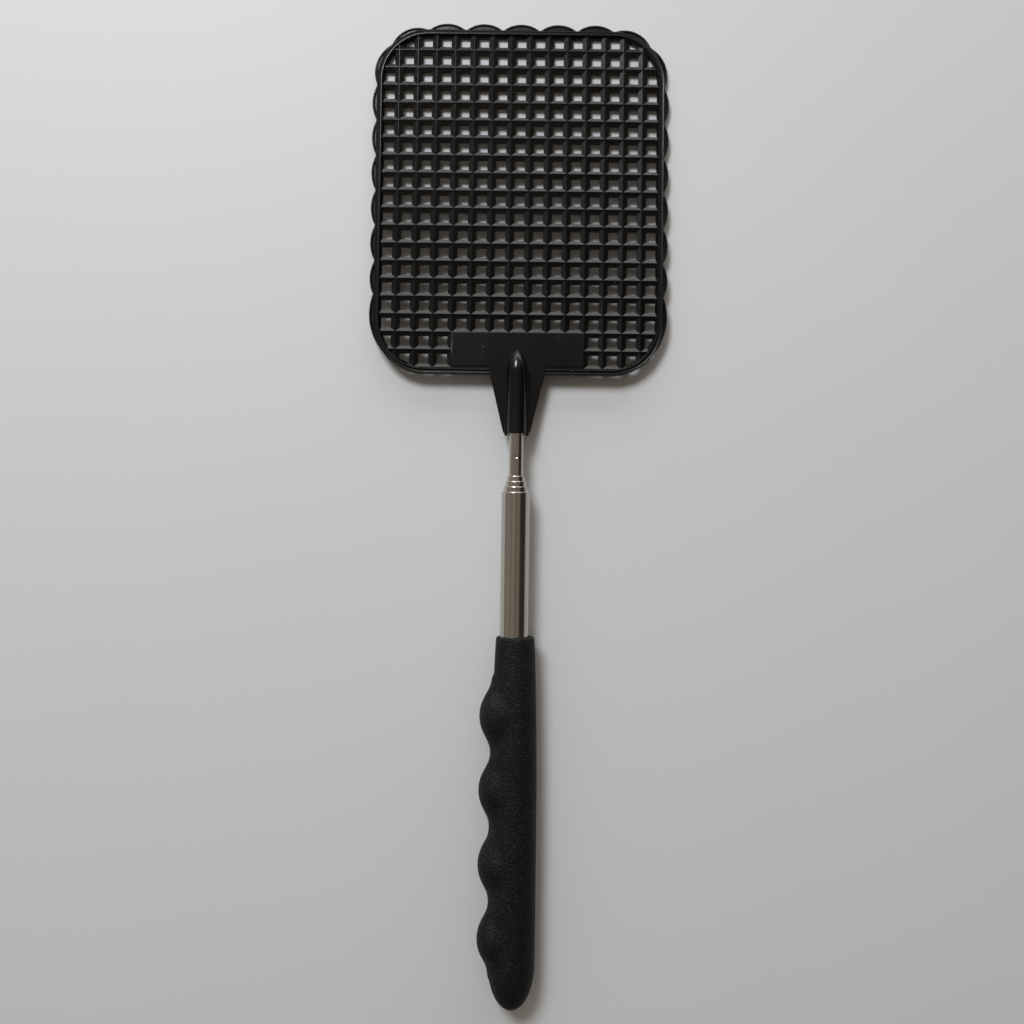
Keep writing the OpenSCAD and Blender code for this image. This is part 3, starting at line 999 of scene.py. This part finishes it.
class SWATTER_OT_studio(bpy.types.Operator):
    """Set the pale floor, the soft lights and the camera above the swatter"""

    bl_idname = "swatter.studio"
    bl_label = "Studio"

    def execute(self, context):
        studio = context.scene.swatter_studio
        bm = bmesh.new()
        bmesh.ops.create_grid(bm, x_segments=1, y_segments=1, size=3.0)
        mesh = bpy.data.meshes.new("floor")
        bm.to_mesh(mesh)
        bm.free()
        mesh.materials.append(floor_paint())
        floor = bpy.data.objects.new("floor", mesh)
        context.collection.objects.link(floor)

        context.scene.world = room_light(studio)
        area_light("window", studio.window_power, (0.42, 0.36), (-0.38, 0.76, 0.98), (0.91, 0.96, 1.0))
        area_light("low_window", studio.low_power, (2.4, 0.6), (0.0, 1.6, 0.55), (0.95, 0.98, 1.0))
        for side in (-0.16, 0.45):
            place = (side, 0.0, 1.0)
            area_light("ceiling_panel", studio.panel_power, (0.5, 1.6), place, (1.0, 0.88, 0.72), "X")

        data = bpy.data.cameras.new("camera")
        data.sensor_width = 36.0
        data.lens = studio.lens
        data.clip_start, data.clip_end = 0.01, 20.0
        camera = bpy.data.objects.new("camera", data)
        camera.location = (studio.camera_x, studio.camera_y, studio.camera_height)
        camera.rotation_euler = (0.0, 0.0, studio.camera_roll)
        context.collection.objects.link(camera)
        context.scene.camera = camera
        context.scene.view_settings.view_transform = "Standard"
        return {"FINISHED"}


class SWATTER_PT_panel(bpy.types.Panel):
    """Lists the building steps of the swatter"""

    bl_label = "Fly swatter"
    bl_idname = "SWATTER_PT_panel"
    bl_space_type = "VIEW_3D"
    bl_region_type = "UI"
    bl_category = "Swatter"

    def draw(self, context):
        for operator in OPERATORS:
            self.layout.operator(operator.bl_idname)
        for name in SETTINGS:
            box = self.layout.box()
            group = getattr(context.scene, name)
            for key in group.bl_rna.properties.keys():
                if key not in ("rna_type", "name"):
                    box.prop(group, key)


OPERATORS = (
    SWATTER_OT_blade,
    SWATTER_OT_pole,
    SWATTER_OT_inner_parts,
    SWATTER_OT_grip,
    SWATTER_OT_studio,
)
SETTINGS = {
    "swatter_blade": BladeSettings,
    "swatter_socket": SocketSettings,
    "swatter_pole": PoleSettings,
    "swatter_grip": GripSettings,
    "swatter_finishes": FinishSettings,
    "swatter_studio": StudioSettings,
}


def register():
    for item in (*SETTINGS.values(), *OPERATORS, SWATTER_PT_panel):
        bpy.utils.register_class(item)
    for name, group in SETTINGS.items():
        setattr(bpy.types.Scene, name, PointerProperty(type=group))


def unregister():
    for name in SETTINGS:
        delattr(bpy.types.Scene, name)
    for item in (SWATTER_PT_panel, *reversed(OPERATORS), *reversed(SETTINGS.values())):
        bpy.utils.unregister_class(item)


def main():
    register()
    bpy.ops.swatter.blade()
    bpy.ops.swatter.pole()
    bpy.ops.swatter.inner_parts()
    bpy.ops.swatter.grip()
    bpy.ops.swatter.studio()


if __name__ == "__main__":
    main()
